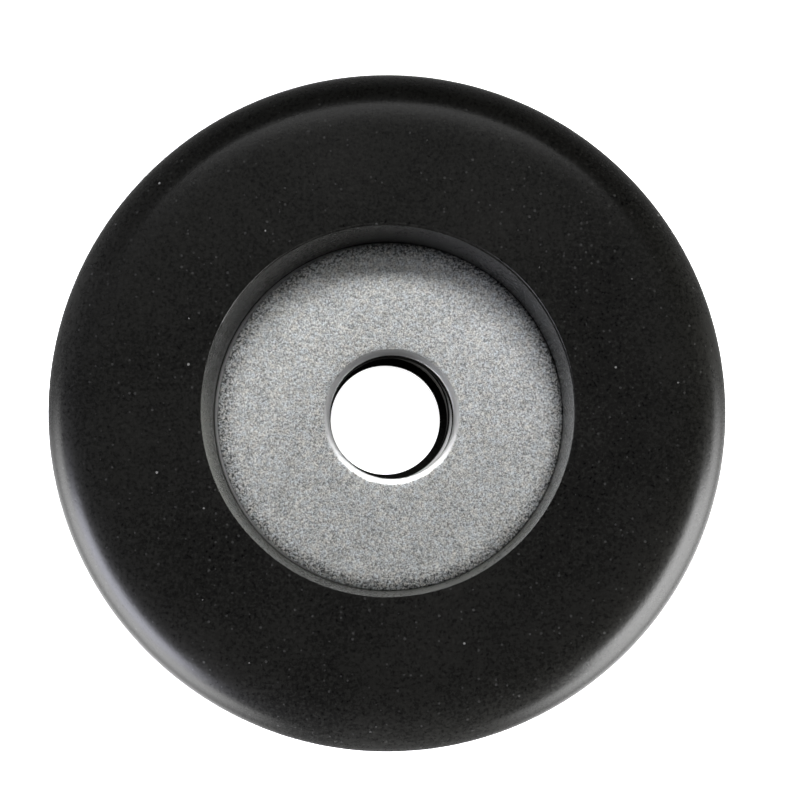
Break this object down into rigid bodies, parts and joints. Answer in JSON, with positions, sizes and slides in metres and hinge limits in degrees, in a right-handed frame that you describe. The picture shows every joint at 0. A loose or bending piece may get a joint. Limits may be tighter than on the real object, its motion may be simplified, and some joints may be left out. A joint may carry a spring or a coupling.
{
  "type": "magnet fishing magnet",
  "caption": "Round rubber-covered holding magnet with a recessed steel hub and a through bore for an eyebolt.",
  "frame": {"origin": "centre of the bore on the plane that the back face rests on", "axes": "+Z along the bore's axis, out of the working face; the first magnet lies on +X"},
  "size_m": [0.08, 0.08, 0.0225],
  "materials": {
    "rubber": "smooth moulded, slightly glossy black",
    "zinc_plated_steel": "fine-grained, zinc plated",
    "nylon": "natural, matte",
    "nickel_plate": "nickel plated, bright"
  },
  "bodies": {
    "root": {"rubber_cover": "rubber", "back_plate": "zinc_plated_steel", "centre_hub": "zinc_plated_steel", "magnet_carrier": "nylon", "magnet_01": "nickel_plate", "magnet_02": "nickel_plate", "magnet_03": "nickel_plate", "magnet_04": "nickel_plate", "magnet_05": "nickel_plate", "magnet_06": "nickel_plate", "magnet_07": "nickel_plate", "magnet_08": "nickel_plate", "magnet_09": "nickel_plate", "magnet_10": "nickel_plate", "magnet_11": "nickel_plate", "magnet_12": "nickel_plate"}
  },
  "joints": []
}
